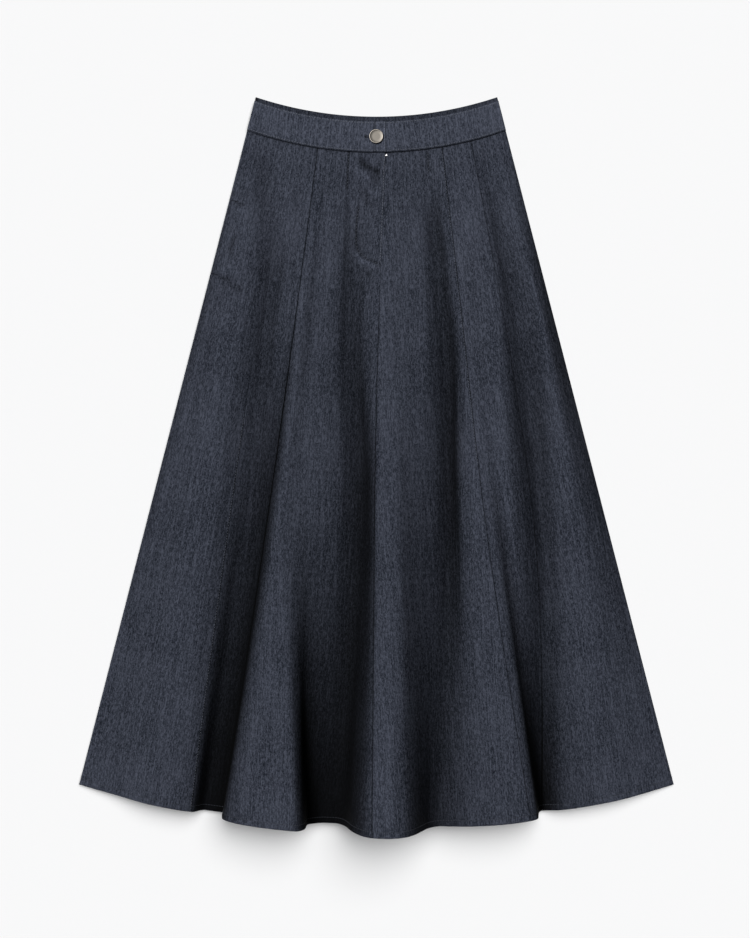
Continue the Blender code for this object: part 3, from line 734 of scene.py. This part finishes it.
def front_gore(name, first, last, sizes, colours):
    levels = front_levels(sizes)
    points, distances, light = gore_points(first, last, levels, sizes)
    outward = outwards(points)
    relief, shade = crease_relief(points)
    relief += hem_relief((1.0 - levels) * FRONT_LENGTH, sizes)[:, None]
    relief -= 0.5 * MM * sewn_grooves(name, points, 1.9 * MM)
    # Painted shade of the folds from their form, and painted shade along the fly's and darts' sewn lines
    shade += light - 1.0 - 0.5 * sewn_grooves(name, points, 1.6 * MM)
    under_band = np.abs(levels) * FRONT_LENGTH
    relief -= (1.0 * MM * np.exp(-(under_band / (2.0 * MM)) ** 2))[:, None]
    left, right = distances[:, 0], distances[:, 1]
    # Painted shade along both sides of the gore seams, faded in over the levels given
    for beside, seam in ((left, first), (right, last)):
        seam_shade_share = SEAM_SHADE.get(seam, 0.0) * ease(levels, *SEAM_STARTS.get(seam, (-0.2, -0.1)))
        shade -= seam_shade_share[:, None] * np.exp(-(beside / (0.9 * MM)) ** 2)
    drop = seam_roll(left, first, levels) + seam_roll(right, last, levels)
    points = points + outward * (relief - drop)[..., None]
    if name == "front_centre_right":
        points, outward = with_underlap(levels, points, outward)
        shade = np.concatenate((np.repeat(shade[:, :1], 4, axis=1), shade), axis=1)
    lowest = 2.5 * sizes.wall + 1.6 * MM
    near_hem = ease((levels - 1.0) * FRONT_LENGTH, -30.0 * MM, -12.0 * MM)[:, None]
    points[..., 2] = np.maximum(points[..., 2], lowest * near_hem)
    points = np.concatenate((points, hem_turn(points, outwards(points), FRONT_TURN, sizes.hem_depth)))
    cloth = cloth_coordinates(points)
    wear = np.zeros(points.shape[:2])
    wear[:len(levels)] += shade
    # Painted shadow in a thin line under the waistband's edge, weaker around the pull
    band_shadow_kept = 1.0 - 0.75 * np.exp(-((points[:len(levels), :, 0] / MM - PULL_X) / PULL_GAP) ** 4)
    wear[:len(levels)] -= 0.75 * np.exp(-(under_band / (1.2 * MM)) ** 2)[:, None] * band_shadow_kept
    cloth_piece(name, colours, points, cloth, wear, sizes.wall)
    PANELS[name] = (points, outwards(points))
    HEM_STARTS[name] = len(levels) - 1


def with_underlap(levels, points, outward):
    """The right centre gore, with the strip that goes under the left one along the fly."""
    lap = (1.0 - ease(levels, FLY_END - 0.045, FLY_END))[:, None]
    seam = points[:, :1].copy()
    way = points[:, 5:6] - points[:, :1]
    way /= np.linalg.norm(way, axis=2, keepdims=True)
    shares = np.array((0.0, 0.25, 0.5, 0.75, 1.0))[None, :, None]
    strip = seam - way * FLY_LAP * lap[..., None] * (1.0 - shares) - way * 0.02 * MM * (1.0 - shares)
    strip[..., 2] = seam[..., 2]
    points = np.concatenate((strip[:, :-1], points), axis=1)
    outward = np.concatenate((np.repeat(outward[:, :1], 4, axis=1), outward), axis=1)
    distance = np.linalg.norm(points - seam, axis=2)
    distance[:, :4] = 0.0
    fade = 1.0 - ease(distance, 0.5 * MM, LAP_FADE)
    return points - outward * (fly_step(levels)[:, None] * fade)[..., None], outward


class SKIRT_OT_front(Operator):
    """Makes the front gores with their folds, creases and turned-up hem"""

    bl_idname = "skirt.front"
    bl_label = "Front gores"

    def execute(self, context):
        for name, first, last in GORES:
            front_gore(name, first, last, context.scene.skirt_sizes, context.scene.skirt_colours)
        return {"FINISHED"}


# ---------------------------------------------------------------- back

def back_panel(name, start, end, sizes, colours):
    """One flat half of the back, outside down, with its hem turned up on the inside."""
    length = HEM_RADIUS - 2.0 * MM - BACK_SEAM_RADIUS
    coarse = 2.2 * sizes.grid
    lengths = np.concatenate((
        np.array((-6.0, 0.0)) * MM,
        np.linspace(3.0 * MM, length - 14.0 * MM, int(round(length / coarse))),
        length - BACK_TURN - np.array((9.0, 7.5, 6.8, 6.1, 4.0, 1.8, 0.0)) * MM))
    widest = abs(end - start) * HALF_ANGLE * HEM_RADIUS
    steps = spread(widest, coarse)
    share = start + (end - start) * steps / widest
    rows = []
    for distance in lengths:
        top = BACK_SEAM_RADIUS + BACK_DIP * bow(share) * (1.0 - distance / length)
        rows.append(place(share, top + distance, 0.0))
    points = np.array(rows)
    outer = np.linalg.norm(points[:, -1] - points[:, 0], axis=1)[:, None] * steps / widest
    side = outer if start < -0.5 else outer[:, -1:] - outer
    centre = outer[:, -1:] - outer if start < -0.5 else outer
    points[..., 2] += edge_roll(side, 1.5 * MM) + edge_roll(centre, 0.7 * MM)
    groove = 0.3 * MM * np.exp(-((length - lengths - 6.8 * MM) / (1.1 * MM)) ** 2)
    points[..., 2] += groove[:, None]
    down = -outwards(points)
    points = np.concatenate((points, hem_turn(points, down, BACK_TURN, sizes.hem_depth)))
    cloth = cloth_coordinates(points)
    cloth_piece(name, colours, points[:, ::-1], cloth[:, ::-1], np.zeros(points.shape[:2]),
                sizes.wall)
    PANELS[name] = (points, -outwards(points))
    HEM_STARTS[name] = len(lengths) - 1


class SKIRT_OT_back(Operator):
    """Makes the flat back panels"""

    bl_idname = "skirt.back"
    bl_label = "Back panels"

    def execute(self, context):
        sizes, colours = context.scene.skirt_sizes, context.scene.skirt_colours
        back_panel("back_left", -1.0, -0.0002, sizes, colours)
        back_panel("back_right", 0.0002, 1.0, sizes, colours)
        return {"FINISHED"}


# ---------------------------------------------------------------- waistband

def band_half(name, start, end, front, sizes, colours):
    """One half of the waistband: folded over at the top, with both raw edges at the seam."""
    spacing = sizes.grid * 0.8
    width = abs(end - start) * HALF_ANGLE * (WAIST_RADIUS + BAND_DEPTH)
    steps = spread(width, spacing)
    share = start + (end - start) * steps / width
    seam = (FRONT_SEAM_RADIUS + FRONT_DIP * bow(share)) if front else (
        BACK_SEAM_RADIUS + BACK_DIP * bow(share))
    turn = 0.55 * MM if front else 0.8 * MM
    up = BAND_DEPTH - turn
    stitch = 2.0 * MM
    ups = np.concatenate((np.array((0.0, 0.3, 0.8, 1.4, 2.0, 2.6, 3.4)) * MM,
                          np.linspace(5.0 * MM, up - 3.0 * MM, 14), (up - 1.2 * MM, up)))
    height = (BAND_SIDE_HEIGHT + CROWN * bow(share)) if front else np.zeros(len(share))
    if name == "waistband_front_right":
        clear = (share - BAND_LAP_EDGE) * HALF_ANGLE * seam
        height = height - BAND_STEP * (1.0 - ease(clear, 0.5 * MM, LAP_FADE))
    sign = 1.0 if front else -1.0
    rows = []
    for distance in ups:
        puff = -0.30 * math.exp(-((distance - stitch) / (1.0 * MM)) ** 2)
        puff += 0.45 * math.sin(math.pi * distance / BAND_DEPTH)
        puff -= edge_roll(np.array(distance), 0.8 * MM) / MM
        rows.append(place(share, seam - distance, height + sign * puff * MM * (1.0 if front else 0.3)))
    points = np.array(rows)
    way = points[-1] - points[-2]
    way /= np.linalg.norm(way, axis=1, keepdims=True)
    out = np.array((0.0, 0.0, sign))
    turned = [points[-1] - out * turn + (out * math.cos(a) + way * math.sin(a)) * turn
              for a in np.linspace(0.0, math.pi, 9)[1:]]
    inner = [points[-1 - step] - out * 2 * turn for step in range(1, len(points))]
    points = np.concatenate((points, turned, inner))
    ends = edge_roll(steps, 0.5 * MM) + edge_roll(steps[-1] - steps, 0.5 * MM)
    count = len(ups)
    points[:count, :, 2] -= sign * ends
    cloth = cloth_coordinates(points)
    wear = np.zeros(points.shape[:2])
    if front:
        # Front band: lighter all over, with a painted shadow on its lowest rows by the waist seam
        wear += 0.26
        wear[:4] -= 0.40
        # Painted shade and light for a crease down the band beside the button
        beside = (points[..., 0] + 2.4 * MM) / MM
        wear += 0.35 * np.exp(-(beside / 3.2) ** 2) - 1.1 * np.exp(-(beside / 1.5) ** 2)
        # Painted highlight along the left half's lapped end
        if name == "waistband_front_left":
            wear[:count] += 0.45 * np.exp(-((steps[-1] - steps) / (1.2 * MM)) ** 2)
    else:
        # Back band: painted shade on its inner face and in the notch just left of the centre
        wear[count:] -= 0.22
        wear -= 0.7 * np.exp(-((points[..., 0] + 1.6 * MM) / (1.6 * MM)) ** 2)
    grid = points[::-1] if front else points[::-1, ::-1]
    cloth = cloth[::-1] if front else cloth[::-1, ::-1]
    wear = wear[::-1]
    cloth_piece(name, colours, grid, cloth, wear, 0.72 * sizes.wall)
    outward = -outwards(points) * sign
    PANELS[name] = (points[:count], outward[:count])


class SKIRT_OT_waistband(Operator):
    """Makes the front and back halves of the waistband"""

    bl_idname = "skirt.waistband"
    bl_label = "Waistband"

    def execute(self, context):
        sizes, colours = context.scene.skirt_sizes, context.scene.skirt_colours
        band_half("waistband_front_left", -1.0, BAND_LAP_EDGE, True, sizes, colours)
        band_half("waistband_front_right", BAND_UNDERLAP_END, 1.0, True, sizes, colours)
        band_half("waistband_back_left", -1.0, -0.0002, False, sizes, colours)
        band_half("waistband_back_right", 0.0002, 1.0, False, sizes, colours)
        return {"FINISHED"}


# ---------------------------------------------------------------- trim

def fly_frame(level):
    """The lap's edge at one level of the fly, and the way across the cloth, down it and out of it."""
    rows = []
    levels = np.array((level - 0.01, level, level + 0.01)).clip(0.0, 1.0)
    for at, along, across, height in zip(levels, *sections(levels)):
        line = along[LINE["seam_centre"]]
        places = np.array((line - 5.0 * MM, line, line + 5.0 * MM))
        share = hermite(along, across, places)
        top = seam_radius(share)
        radius = top + (HEM_RADIUS - top) * at
        rows.append(place(share, radius, hermite(along, height, places)))
    across = rows[1][2] - rows[1][0]
    across /= np.linalg.norm(across)
    down = rows[2][1] - rows[0][1]
    down /= np.linalg.norm(down)
    out = np.cross(down, across)
    return rows[1][1], across, down, out / np.linalg.norm(out)


def button_place():
    low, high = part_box("waist_button")
    return (low[0] + high[0]) / 2, (low[1] + high[1]) / 2, high[2]


def turned(name, profile, steps, material, sharp=35.0):
    """A lathe-turned piece on the button's centre line, from radii and depths in millimetres."""
    x, y, top = button_place()
    bm = bmesh.new()
    verts = [bm.verts.new((r * MM, 0.0, -depth * MM)) for r, depth in profile]
    for first, second in zip(verts, verts[1:]):
        bm.edges.new((first, second))
    bmesh.ops.spin(bm, geom=bm.verts[:] + bm.edges[:], cent=(0, 0, 0), axis=(0, 0, 1),
                   angle=2 * math.pi, steps=steps, use_merge=True)
    bmesh.ops.remove_doubles(bm, verts=bm.verts, dist=1e-6)
    bmesh.ops.recalc_face_normals(bm, faces=bm.faces)
    bmesh.ops.translate(bm, verts=bm.verts, vec=(x, y, top))
    return object_from(bm, name, material, sharp)


class SKIRT_OT_button(Operator):
    """Makes the waist button and the worked buttonhole beside it"""

    bl_idname = "skirt.button"
    bl_label = "Button and buttonhole"

    def execute(self, context):
        sizes, colours = context.scene.skirt_sizes, context.scene.skirt_colours
        radius = sizes.button / 2 / MM
        seat = (button_place()[2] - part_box("waist_button")[0][2]) / MM
        rim = radius - 1.25
        profile = [(0.0, 0.62), (rim * 0.6, 0.60), (rim - 0.5, 0.62), (rim - 0.15, 0.50)]
        for step in range(9):
            angle = math.pi * (1.0 - step / 8.0)
            profile.append((rim + 0.6 + 0.6 * math.cos(angle), 0.45 - 0.45 * math.sin(angle)))
        profile += [(radius, 0.85), (radius, 1.6), (radius - 0.35, 2.1), (radius - 0.9, 2.35),
                    (2.2, 2.4), (1.9, 2.7), (1.9, seat), (0.0, seat)]
        cap = turned("waist_button_cap", profile, 64, look("satin_nickel", colours))
        # The dished face takes the darker copy of the metal, painted shade
        cap.data.materials.append(look("brushed_nickel_face", colours))
        x, y, top = button_place()
        for face in cap.data.polygons:
            inside = math.hypot(face.center.x - x, face.center.y - y) < (rim - 0.3) * MM
            face.material_index = 1 if inside and face.center.z > top - 1.0 * MM else 0
        keep(cap, "brushed_nickel", "waist_button")
        length = 13.2 * MM
        slot = []
        for share in np.linspace(0.0, 1.0, 15):
            for side in (-1.0, 1.0):
                at = (x - length * share, y + side * 0.85 * MM)
                slot.append((at, (0.0, side), 1.5 * MM))
        for angle in np.linspace(-1.2, 1.2, 5):
            at = (x - length - 0.9 * MM * math.cos(angle), y + 0.9 * MM * math.sin(angle))
            slot.append((at, (-math.cos(angle), math.sin(angle)), 1.5 * MM))
        bars = []
        for at, way, long in slot:
            spot, out = laid_on("waistband_front_left", [at], 0.30 * MM)
            way = np.array((way[0], way[1], 0.0))
            bars.append((spot[0], way, out[0], long, 0.75 * MM))
        sewn = threads("buttonhole_stitches", bars, look("indigo_buttonhole_thread", colours))
        keep(sewn, "indigo_denim")
        return {"FINISHED"}


class SKIRT_OT_zip(Operator):
    """Makes the zip's tape, its teeth, its slider and the pull whose tip shows"""

    bl_idname = "skirt.zip"
    bl_label = "Fly zip"

    def execute(self, context):
        colours = context.scene.skirt_colours
        rows, ends = [], []
        for level in np.linspace(0.0, 0.150, 34):
            edge, across, down, out = fly_frame(level)
            middle = edge - across * 10.0 * MM - out * (fly_step(level, CAD_STEPS) + 1.98 * MM)
            lane = np.array((-11.8, -8.0, -4.0, -1.6, 0.0, 1.6, 4.0, 8.0, 11.8)) * MM
            rows.append([middle + across * at for at in lane])
            ends.append((middle, across, down, out))
        points = np.array(rows)
        tape = sheet_mesh("zip_tape", look("woven_zip_tape", colours), points,
                          cloth_coordinates(points), np.zeros(points.shape[:2]), 0.6 * MM)
        keep(tape, "zip_tape", "fly_zip")
        middles = np.array([end[0] for end in ends])
        run = run_along(middles)
        teeth = []
        for number, at in enumerate(np.arange(4.0 * MM, run[-1] - 2.0 * MM, 1.6 * MM)):
            spot = np.array([np.interp(at, run, middles[:, axis]) for axis in range(3)])
            across, out = ends[8][1], ends[8][3]
            side = 1.0 if number % 2 else -1.0
            teeth.append((spot + across * side * 0.7 * MM + out * 0.3 * MM, across, out,
                          3.2 * MM, 1.0 * MM))
        rack = threads("zip_teeth", teeth, look("satin_nickel", colours))
        keep(rack, "brushed_nickel")
        self.slider(colours)
        return {"FINISHED"}

    def slider(self, colours):
        """Slider on the teeth, and the pull laid to the right so that its tip shows."""
        edge, across, down, out = fly_frame(0.0045)
        bm = bmesh.new()
        blocks = (((-10.0, 0.0, -2.35), (5.5, 8.0, 1.9)), ((-4.6, 0.0, -1.32), (9.6, 3.0, 0.85)))
        for middle, size in blocks:
            made = bmesh.ops.create_cube(bm, size=1.0)
            bmesh.ops.scale(bm, verts=made["verts"], vec=[side * MM for side in size])
            bmesh.ops.translate(bm, verts=made["verts"], vec=[side * MM for side in middle])
        turn = Matrix((across, down, out)).transposed().to_4x4()
        turn.translation = Vector(edge)
        self.finish(bm, turn, "zip_slider_and_pull", look("satin_nickel", colours), "zip_slider")
        bm = bmesh.new()
        tip = bmesh.ops.create_cone(bm, cap_ends=True, segments=3, radius1=1.9 * MM,
                                    radius2=1.9 * MM, depth=0.85 * MM)
        bmesh.ops.rotate(bm, verts=tip["verts"], cent=(0, 0, 0), matrix=Matrix.Rotation(math.pi, 3, "Z"))
        bmesh.ops.translate(bm, verts=tip["verts"], vec=(1.5 * MM, 0.0, -0.7 * MM))
        # The tip takes the near-white metal, a painted highlight
        self.finish(bm, turn, "zip_pull_tip", look("polished_nickel", colours))

    def finish(self, bm, turn, name, metal, *nodes):
        """Rounds the edges of a metal piece and lays it in its place."""
        bmesh.ops.bevel(bm, geom=bm.edges[:], offset=0.22 * MM, affect="EDGES", segments=2,
                        profile=0.5, material=-1)
        bmesh.ops.transform(bm, matrix=turn, verts=bm.verts)
        bmesh.ops.recalc_face_normals(bm, faces=bm.faces)
        keep(object_from(bm, name, metal, 35.0), "brushed_nickel", *nodes)


# ---------------------------------------------------------------- pocket

def side_point(radius, inset):
    """A point on the left side, at a radius and a distance in from the side seam."""
    share = -1.0 + inset / (radius * HALF_ANGLE)
    return place(share, radius, 0.0)[:2]


class SKIRT_OT_pocket(Operator):
    """Makes the bag of the left side pocket, its edge stitching and its bar tacks"""

    bl_idname = "skirt.pocket"
    bl_label = "Side pocket"

    def execute(self, context):
        sizes, colours = context.scene.skirt_sizes, context.scene.skirt_colours
        rows = []
        for share in np.linspace(0.0, 1.0, 61):
            width = 0.42 + 0.58 * math.sqrt(1.0 - abs(2.0 * share - 1.0) ** 4)
            across = np.linspace(-0.955, -0.955 + 0.515 * width, 41)
            dimple = 0.12 * MM * np.sin(across * 46.0 + 3.0 * share) * np.sin(math.pi * share)
            rows.append(place(across, 0.700 + 0.225 * share, 2.75 * MM + dimple))
        points = np.array(rows)
        bag = sheet_mesh("pocket_bag", look("cotton_pocketing", colours), points,
                         cloth_coordinates(points), np.zeros(points.shape[:2]), 0.5 * MM)
        keep(bag, "pocketing", "pocket_bag_left")
        bars = []
        for radius in (POCKET_TOP, POCKET_FOOT):
            for row in range(11):
                inset = (1.6 + 0.9 * row) * MM
                spot, out = laid_on("front_side_left", [side_point(radius, inset)], 0.15 * MM)
                bars.append((spot[0], np.array((0.2, 1.0, 0.0)), out[0], 1.9 * MM, 0.6 * MM))
        tacks = threads("pocket_bar_tacks", bars, look("indigo_buttonhole_thread", colours))
        keep(tacks, "indigo_denim")
        edge = [side_point(radius, 2.2 * MM) for radius in
                np.arange(POCKET_TOP, POCKET_FOOT, 2.0 * MM)]
        sewn = threads("pocket_edge_stitches",
                       run_of_stitches("front_side_left", edge, sizes, 0.16 * MM, 2.6 * MM),
                       look("indigo_buttonhole_thread", colours))
        keep(sewn, "indigo_denim")
        return {"FINISHED"}


# ---------------------------------------------------------------- stitching

def laid_on(name, path, lift):
    """Points of a path, given across and down, laid on the outer face of a piece of cloth."""
    points, outward = PANELS[name]
    flat, ways = points.reshape(-1, 3), outward.reshape(-1, 3)
    spots, outs = [], []
    for x, y in path:
        away = np.hypot(flat[:, 0] - x, flat[:, 1] - y)
        near = np.argsort(away)[:5]
        weight = 1.0 / (away[near] + 0.3 * MM) ** 2
        weight /= weight.sum()
        out = (ways[near] * weight[:, None]).sum(axis=0)
        out /= np.linalg.norm(out)
        spots.append(np.array((x, y, (flat[near, 2] * weight).sum())) + out * lift)
        outs.append(out)
    return np.array(spots), np.array(outs)


def threads(name, bars, material):
    """Short rounded bars of thread or metal: middle, way along, way out, length and thickness."""
    bm = bmesh.new()
    bmesh.ops.create_uvsphere(bm, u_segments=6, v_segments=4, radius=0.5)
    made = object_from(bm, name, material)
    one = made.data
    co = np.empty(len(one.vertices) * 3)
    one.vertices.foreach_get("co", co)
    co = co.reshape(-1, 3)
    faces = [tuple(face.vertices) for face in one.polygons]
    spots, polygons = [], []
    for number, (middle, along, out, length, thick) in enumerate(bars):
        along = along - out * np.dot(along, out)
        along = along / np.linalg.norm(along)
        side = np.cross(out, along)
        spots.append(middle + co[:, :1] * side * thick + co[:, 1:2] * out * thick
                     + co[:, 2:] * along * length)
        polygons += [tuple(corner + number * len(co) for corner in face) for face in faces]
    joined = bpy.data.meshes.new(name)
    joined.from_pydata(np.concatenate(spots).tolist(), [], polygons)
    joined.materials.append(material)
    joined.shade_smooth()
    made.data = joined
    bpy.data.meshes.remove(one)
    joined.name = name
    return made


def along_path(path, pitch):
    """Points evenly spaced along a path, and the way along it at each."""
    path = np.array(path)
    run = run_along(path)
    steps = np.diff(run)
    at = np.arange(pitch / 2, run[-1], pitch)
    spots = np.stack([np.interp(at, run, path[:, axis]) for axis in range(path.shape[1])], axis=1)
    first = np.clip(np.searchsorted(run, at, side="right") - 1, 0, len(steps) - 1)
    return spots, (path[first + 1] - path[first]) / steps[first, None]


def run_of_stitches(name, path, sizes, lift=0.16 * MM, pitch=3.4 * MM):
    """Stitches along a path that is given across and down on a piece."""
    spots, ways = along_path(path, pitch)
    laid, outs = laid_on(name, spots, lift)
    rise = np.gradient(laid, axis=0) if len(laid) > 2 else np.column_stack((ways, ways[:, 0] * 0.0))
    return [(spot, way, out, sizes.stitch_length, sizes.thread)
            for spot, way, out in zip(laid, rise, outs)]


def grid_stitches(points, outward, sizes, lift=0.16 * MM, pitch=3.4 * MM):
    """Stitches along a line of a grid's points."""
    spots, ways = along_path(points, pitch)
    run = run_along(points)
    at = np.arange(pitch / 2, run[-1], pitch)
    outs = np.stack([np.interp(at, run, outward[:, axis]) for axis in range(3)], axis=1)
    return [(spot + out * lift, way, out / np.linalg.norm(out), sizes.stitch_length, sizes.thread)
            for spot, way, out in zip(spots, ways, outs)]


class SKIRT_OT_stitching(Operator):
    """Sews the hem, the waistband's edges, the fly and the seams that show their thread"""

    bl_idname = "skirt.stitching"
    bl_label = "Stitching"

    def execute(self, context):
        sizes, colours = context.scene.skirt_sizes, context.scene.skirt_colours
        thread = look("tonal_polyester_thread", colours)
        shaded_hem_thread = look("indigo_hem_thread", colours)
        bars = []
        for name, *ends in GORES:
            points, outward = PANELS[name]
            rows = np.argmin(np.abs(HEM_ROWS - sizes.hem_stitch))
            row = HEM_STARTS[name] - rows
            bars += grid_stitches(points[row], outward[row], sizes, 0.1 * MM)
        keep(threads("hem_stitches_front", bars, shaded_hem_thread), "indigo_denim")
        bars = []
        for name in ("back_left", "back_right"):
            points, outward = PANELS[name]
            row = HEM_STARTS[name] - 4
            bars += grid_stitches(points[row], outward[row], sizes, 0.1 * MM)
        keep(threads("hem_stitches_back", bars, shaded_hem_thread), "indigo_denim")
        bars = []
        for name in ("waistband_front_left", "waistband_front_right"):
            points, outward = PANELS[name]
            for row in (4, 21):
                bars += grid_stitches(points[row, 2:-2], outward[row, 2:-2], sizes, 0.2 * MM)
        points, outward = PANELS["waistband_front_left"]
        bars += grid_stitches(points[1:21, -4], outward[1:21, -4], sizes, 0.2 * MM)
        keep(threads("waistband_stitches", bars, thread), "indigo_denim")
        fly = []
        for level in np.linspace(0.002, FLY_END, 40):
            edge, across, down, out = fly_frame(level)
            fly.append((edge - across * 1.3 * MM)[:2])
        bars = run_of_stitches("front_centre_left", fly, sizes)
        seams = [("front_centre_left", fly_curve())]
        seams += [(name, np.linspace(top, foot, 12) * MM) for name, top, foot in DARTS]
        # Dark bars along the fly's curve and the darts: painted shade in the seams' grooves
        groove_shade_bars = []
        for name, line in seams:
            groove_shade_bars += run_of_stitches(name, line, sizes, 0.22 * MM, 2.3 * MM)
            bars += [(spot, way, out, 0.45 * length, 0.8 * thick) for spot, way, out, length, thick
                     in run_of_stitches(name, line, sizes, 0.38 * MM, 4.1 * MM)]
        for name, column, levels in (("front_side_left", -4, slice(105, None)),
                                     ("front_centre_right", -4, slice(6, 120))):
            points, outward = PANELS[name]
            run = slice(levels.start, min(levels.stop or HEM_STARTS[name], HEM_STARTS[name]))
            bars += [(spot, way, out, 0.55 * length, 0.8 * thick) for spot, way, out, length, thick
                     in grid_stitches(points[run, column], outward[run, column], sizes, 0.16 * MM)]
        keep(threads("sunk_seams", groove_shade_bars, look("indigo_buttonhole_thread", colours)), "indigo_denim")
        keep(threads("fly_and_dart_stitches", bars, thread), "indigo_denim")
        return {"FINISHED"}


def fly_curve():
    """The curved line of stitches that closes the fly below, across and down."""
    corners = np.array(((-22.3, 319.0), (-25.7, 287.6), (-25.7, 274.4), (-22.3, 261.6),
                        (-11.9, 251.9), (-3.9, 247.9), (4.9, 244.0))) * MM
    run = run_along(corners)
    at = np.linspace(0.0, run[-1], 60)
    return np.stack((hermite(run, corners[:, 0], at), hermite(run, corners[:, 1], at)), axis=1)


# ---------------------------------------------------------------- studio

class SKIRT_OT_studio(Operator):
    """Sets the floor, the lights and the camera"""

    bl_idname = "skirt.studio"
    bl_label = "Studio"

    def lamp(self, context, name, energy, spread, way, lit):
        """A broad soft lamp that lights one collection."""
        light = bpy.data.lights.new(name, "SUN")
        light.energy = energy
        light.angle = math.radians(spread)
        made = bpy.data.objects.new(name, light)
        made.rotation_euler = Vector(way).to_track_quat("-Z", "Y").to_euler()
        made.light_linking.receiver_collection = lit
        context.collection.objects.link(made)

    def execute(self, context):
        bm = bmesh.new()
        bmesh.ops.create_grid(bm, x_segments=1, y_segments=1, size=6.0)
        paper_white = context.scene.skirt_colours.floor
        floor = object_from(bm, "floor", plain("studio_paper", paper_white, 0.9, 0.0, 0.1, 0.5))
        goods = bpy.data.collections.new("lit_by_key")
        for piece in context.scene.objects:
            if piece.type == "MESH" and piece is not floor:
                goods.objects.link(piece)
        paper = bpy.data.collections.new("lit_by_overhead")
        paper.objects.link(floor)
        self.lamp(context, "key", 3.3, 20.0, (0.40, -0.30, -1.0), goods)
        self.lamp(context, "overhead", 3.93, 60.0, (-0.28, -0.50, -1.0), paper)
        world = bpy.data.worlds.new("studio")
        world.use_nodes = True
        world.node_tree.nodes["Background"].inputs["Color"].default_value = (0.80, 0.86, 1.0, 1.0)
        world.node_tree.nodes["Background"].inputs["Strength"].default_value = 0.04
        context.scene.world = world
        camera = bpy.data.cameras.new("camera")
        camera.lens = 50.0
        camera.sensor_width = 36.0
        camera.clip_start = 0.05
        seat = bpy.data.objects.new("camera", camera)
        seat.location = (-0.0019, -0.0122, 1.654)
        context.collection.objects.link(seat)
        context.scene.camera = seat
        context.scene.view_settings.view_transform = "Standard"
        return {"FINISHED"}


class SKIRT_PT_panel(Panel):
    """Lists the steps that build the skirt."""

    bl_idname = "SKIRT_PT_panel"
    bl_label = "Flared denim skirt"
    bl_space_type = "VIEW_3D"
    bl_region_type = "UI"
    bl_category = "Skirt"

    def draw(self, context):
        for settings in (context.scene.skirt_sizes, context.scene.skirt_colours):
            box = self.layout.box()
            for name in settings.__annotations__:
                box.prop(settings, name)
        for step in STEPS:
            self.layout.operator(step.bl_idname)


STEPS = (SKIRT_OT_front, SKIRT_OT_back, SKIRT_OT_waistband, SKIRT_OT_button, SKIRT_OT_zip,
         SKIRT_OT_pocket, SKIRT_OT_stitching, SKIRT_OT_studio)
CLASSES = (SkirtSizes, SkirtColours, *STEPS, SKIRT_PT_panel)


def register():
    for each in CLASSES:
        bpy.utils.register_class(each)
    bpy.types.Scene.skirt_sizes = PointerProperty(type=SkirtSizes)
    bpy.types.Scene.skirt_colours = PointerProperty(type=SkirtColours)


def unregister():
    del bpy.types.Scene.skirt_colours
    del bpy.types.Scene.skirt_sizes
    for each in reversed(CLASSES):
        bpy.utils.unregister_class(each)


def main():
    register()
    for step in STEPS:
        group, name = step.bl_idname.split(".")
        getattr(getattr(bpy.ops, group), name)()


if __name__ == "__main__":
    main()
